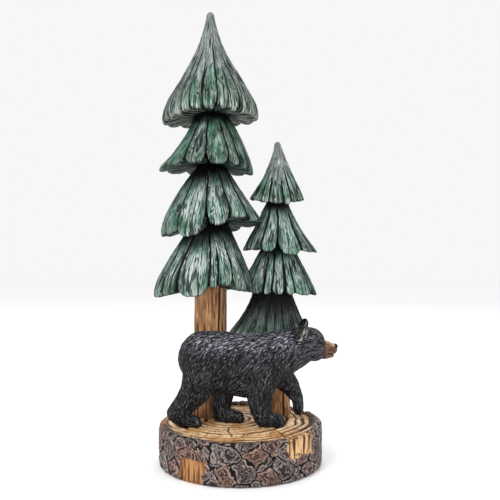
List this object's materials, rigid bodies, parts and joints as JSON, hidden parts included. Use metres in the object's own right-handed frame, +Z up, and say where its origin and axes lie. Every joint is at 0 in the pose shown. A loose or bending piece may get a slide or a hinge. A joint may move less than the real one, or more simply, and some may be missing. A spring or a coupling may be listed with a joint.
{
  "type": "resin bear statue",
  "caption": "Cast resin table-top statue: a black bear walks past a tall and a short pine with layered boughs, on a round slice of log with a bark edge.",
  "frame": {"origin": "middle of the flat underside of the log slice", "axes": "+Z up, +X the way the bear walks, -Y the front of the statue"},
  "size_m": [0.1366, 0.118, 0.3338],
  "materials": {
    "pine_green": "deep green paint on carved resin, pale grey dry-brushed ridges, satin",
    "bear_black": "charcoal paint on carved fur, light grey dry-brushed strokes, satin",
    "bare_wood": "golden tan paint with dark brown wash in the grain, satin",
    "bark_brown": "grey-brown paint with pale plate edges, matt"
  },
  "bodies": {
    "root": {"bear_and_pines_statue": "pine_green"}
  },
  "joints": []
}
